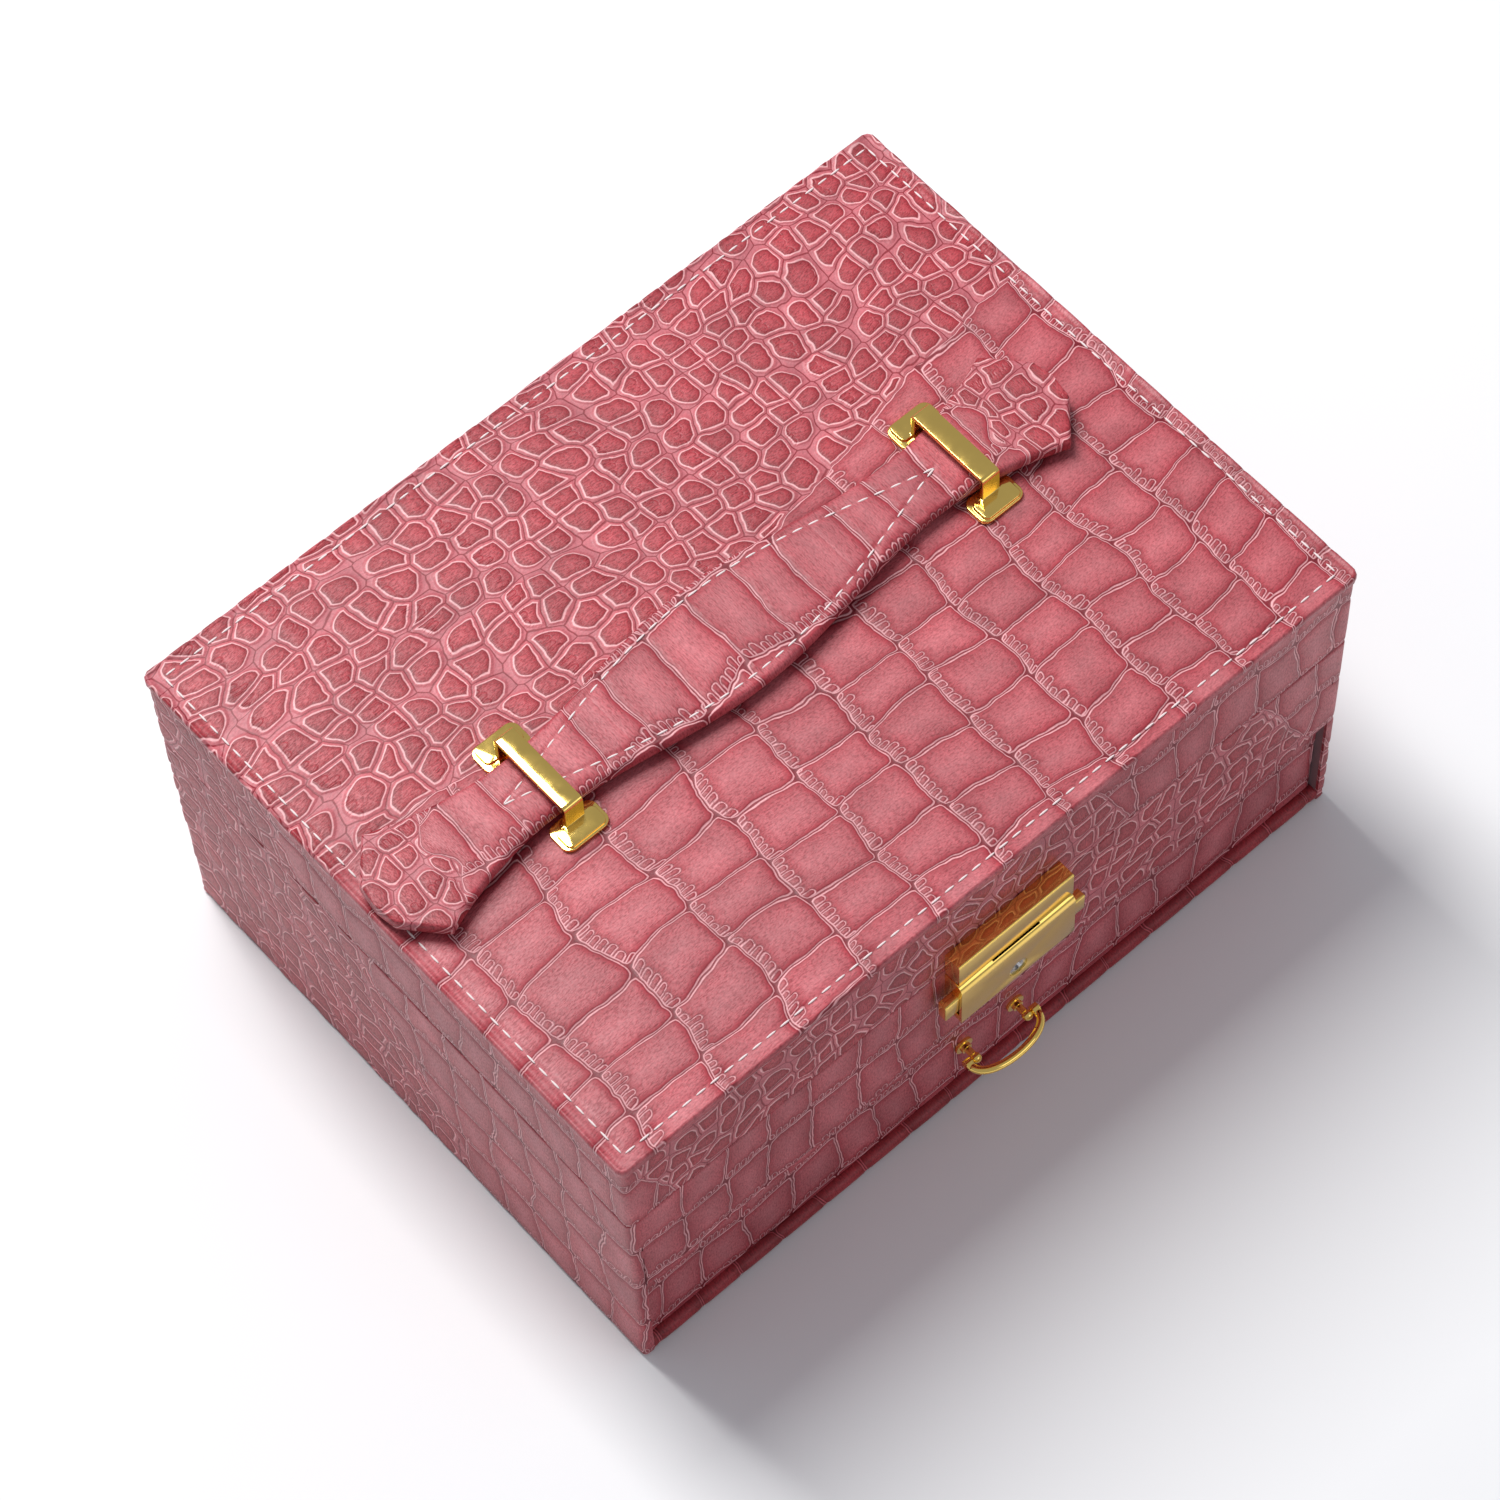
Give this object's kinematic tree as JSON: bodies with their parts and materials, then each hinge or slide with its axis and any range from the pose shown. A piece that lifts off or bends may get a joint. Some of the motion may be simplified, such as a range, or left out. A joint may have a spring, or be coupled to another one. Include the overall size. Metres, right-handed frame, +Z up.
{
  "type": "jewellery case",
  "caption": "Leather-covered jewellery case with a hinged mirrored lid, padded tray, base drawer with a bail pull, push lock, and a strap handle that slides in two loops and lifts",
  "frame": {"origin": "centre of the base on the surface it stands on", "axes": "+X along the case to its right as seen from the front, -Y out of the front with the lock and drawer, +Z up"},
  "size_m": [0.2302, 0.1858, 0.121],
  "materials": {
    "croc_leather": "embossed scaled leather, satin",
    "strap_leather": "embossed scaled leather, satin, stitched",
    "board": "dense grey-brown board",
    "felt": "pressed felt",
    "padding": "soft wadding",
    "velvet": "short pile velvet",
    "mirror": "silvered glass",
    "gilt": "polished, gilt",
    "steel": "plain"
  },
  "bodies": {
    "case": {"base_felt": "felt", "base_board": "board", "base_edging": "croc_leather", "left_side_board": "board", "right_side_board": "board", "back_board": "board", "front_panel_board": "board", "tray_shelf": "board", "body_leather": "croc_leather", "tray_lining": "velvet", "ring_rolls": "velvet", "long_divider": "velvet", "cross_dividers": "velvet", "front_divider": "velvet", "lock_base_plate": "gilt", "lock_case": "gilt", "lock_rivets": "steel", "latch_springs": "steel", "body_hinge_leaves": "gilt", "hinge_pins": "steel", "body_hinge_rivets": "gilt"},
    "lid": {"lid_front_board": "board", "lid_back_board": "board", "lid_left_board": "board", "lid_right_board": "board", "lid_top_board": "board", "lid_leather": "croc_leather", "panel_padding": "padding", "panel_leather": "croc_leather", "lid_lining": "velvet", "mirror_glass": "mirror", "mirror_frame": "croc_leather", "hasp": "gilt", "hasp_rivets": "steel", "lid_hinge_leaves": "gilt", "lid_hinge_rivets": "gilt", "left_loop": "gilt", "right_loop": "gilt", "loop_screws": "steel"},
    "drawer": {"drawer_front_board": "board", "drawer_front_leather": "croc_leather", "drawer_left_side": "board", "drawer_right_side": "board", "drawer_back": "board", "drawer_bottom": "board", "drawer_lining": "velvet", "drawer_dividers": "velvet", "pull_posts": "gilt", "pull_nuts": "steel"},
    "pull": {"drawer_pull": "gilt"},
    "release": {"release_slider": "gilt"},
    "key_barrel": {"key_cylinder": "gilt"},
    "strap_left_end": {"handle_left_end": "strap_leather"},
    "strap_left_span": {"handle_left_span": "strap_leather"},
    "strap_middle": {"handle_middle": "strap_leather"},
    "strap_right_span": {"handle_right_span": "strap_leather"},
    "strap_right_end": {"handle_right_end": "strap_leather"}
  },
  "joints": [
    {"name": "lid_hinge", "type": "hinge", "parent": "case", "child": "lid", "pos_m": [0, 0.0883, 0.079], "axis": [-1, 0, 0], "range_deg": [0, 100]},
    {"name": "drawer_slide", "type": "slide", "parent": "case", "child": "drawer", "axis": [0, -1, 0], "range_m": [0, 0.12]},
    {"name": "pull_swing", "type": "hinge", "parent": "drawer", "child": "pull", "pos_m": [0, -0.0883, 0.02255], "axis": [1, 0, 0], "range_deg": [-90, 90]},
    {"name": "release_slide", "type": "slide", "parent": "case", "child": "release", "axis": [0, 0, -1], "range_m": [0, 0.0025], "stiffness_N_per_m": 400, "springref_m": -0.002, "deforming": ["latch_springs"]},
    {"name": "key_turn", "type": "hinge", "parent": "case", "child": "key_barrel", "pos_m": [0.0012, -0.09, 0.065], "axis": [0, 1, 0], "range_deg": [0, 90]},
    {"name": "handle_slide", "type": "slide", "parent": "lid", "child": "strap_left_end", "axis": [1, 0, 0], "range_m": [0, 0.0175]},
    {"name": "handle_lift", "type": "hinge", "parent": "strap_left_end", "child": "strap_left_span", "pos_m": [-0.0734, 0, 0.1147], "axis": [0, -1, 0], "range_deg": [0, 36.35]},
    {"name": "handle_crown_left", "type": "hinge", "parent": "strap_left_span", "child": "strap_middle", "pos_m": [-0.0287, 0, 0.1147], "axis": [0, -1, 0], "range_deg": [-36.35, 0]},
    {"name": "handle_crown_right", "type": "hinge", "parent": "strap_middle", "child": "strap_right_span", "pos_m": [0.0113, 0, 0.1147], "axis": [0, -1, 0], "range_deg": [-36.35, 0]},
    {"name": "handle_end_right", "type": "hinge", "parent": "strap_right_span", "child": "strap_right_end", "pos_m": [0.056, 0, 0.1147], "axis": [0, -1, 0], "range_deg": [0, 36.35]}
  ],
  "couplings": [
    {"joint": "handle_slide", "follows": "handle_lift", "m_per_rad": 0.027426},
    {"joint": "handle_crown_left", "follows": "handle_lift", "ratio": -1},
    {"joint": "handle_crown_right", "follows": "handle_lift", "ratio": -1},
    {"joint": "handle_end_right", "follows": "handle_lift", "ratio": 1}
  ]
}
